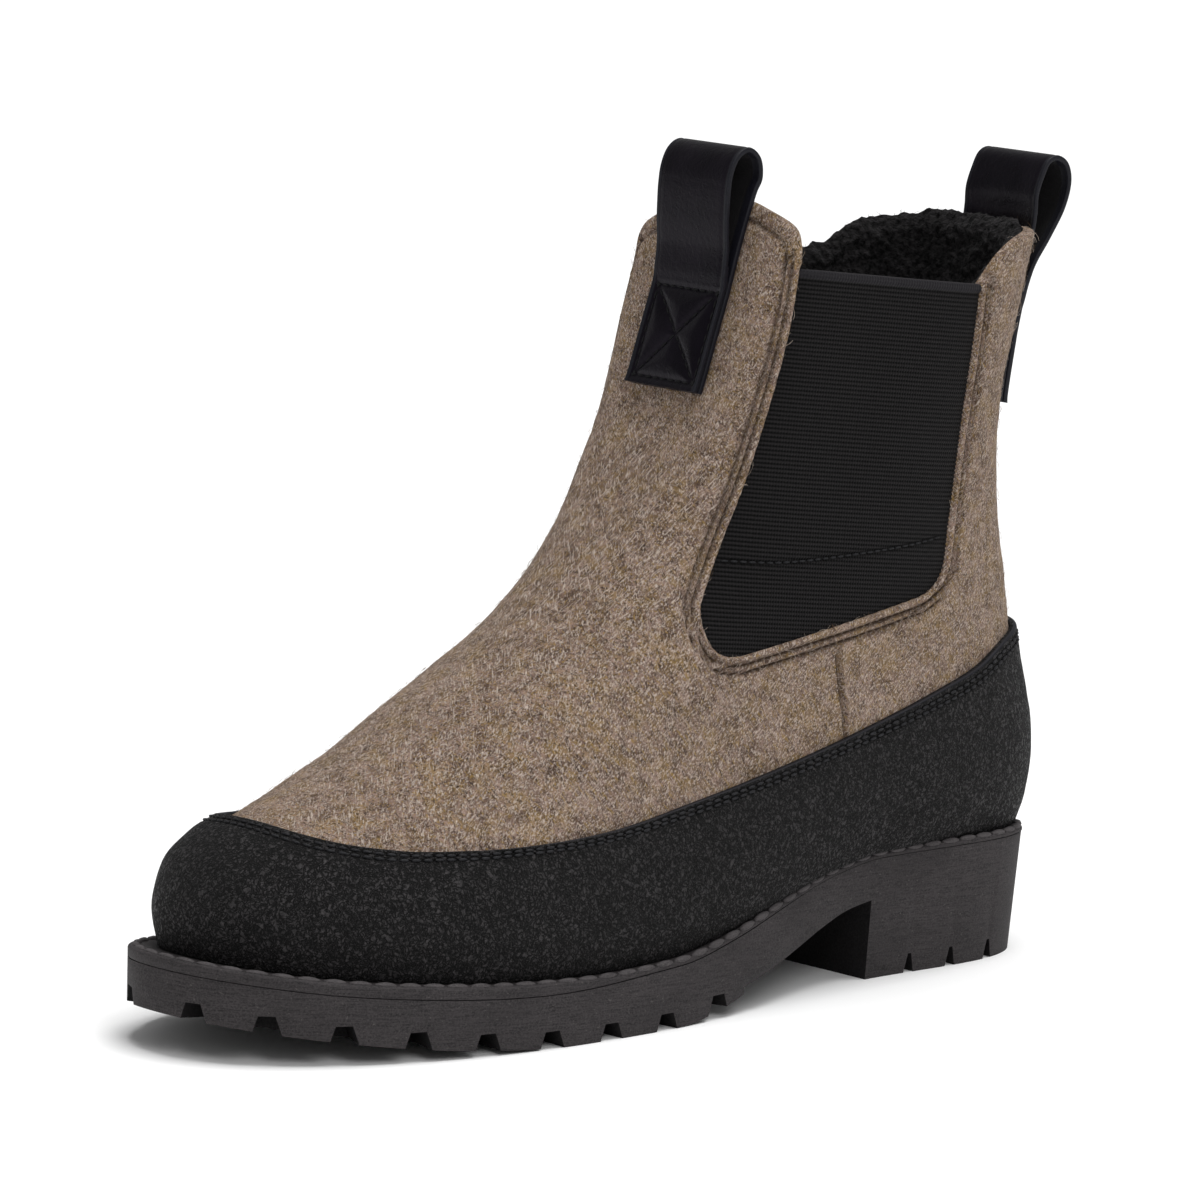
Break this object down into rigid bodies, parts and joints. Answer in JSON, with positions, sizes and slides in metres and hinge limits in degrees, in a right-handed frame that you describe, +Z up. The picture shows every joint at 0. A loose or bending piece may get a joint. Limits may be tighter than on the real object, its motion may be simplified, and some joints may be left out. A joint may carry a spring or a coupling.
{
  "type": "felt ankle boot",
  "caption": "Left pull-on felt ankle boot with elastic side gores, leather rand, front and rear pull loops, welt and lugged rubber sole.",
  "frame": {"origin": "on the floor, under the middle of the boot's overall length and width", "axes": "+X towards the toe, +Y to the outer (left) side of the foot, +Z up"},
  "size_m": [0.2802, 0.0938, 0.2124],
  "materials": {
    "sole_rubber": "matt, finely brushed",
    "insole_board": "matt",
    "felt": "melange wool felt, matt",
    "elastic": "fine ribbed weave, matt",
    "rand_leather": "pebbled, matt",
    "loop_leather": "smooth, satin"
  },
  "bodies": {
    "root": {"outsole": "sole_rubber", "welt": "sole_rubber", "insole": "insole_board", "upper": "felt", "gore_lateral": "elastic", "gore_medial": "elastic", "rand": "rand_leather", "pull_loop_front": "loop_leather", "pull_loop_back": "loop_leather"}
  },
  "joints": []
}
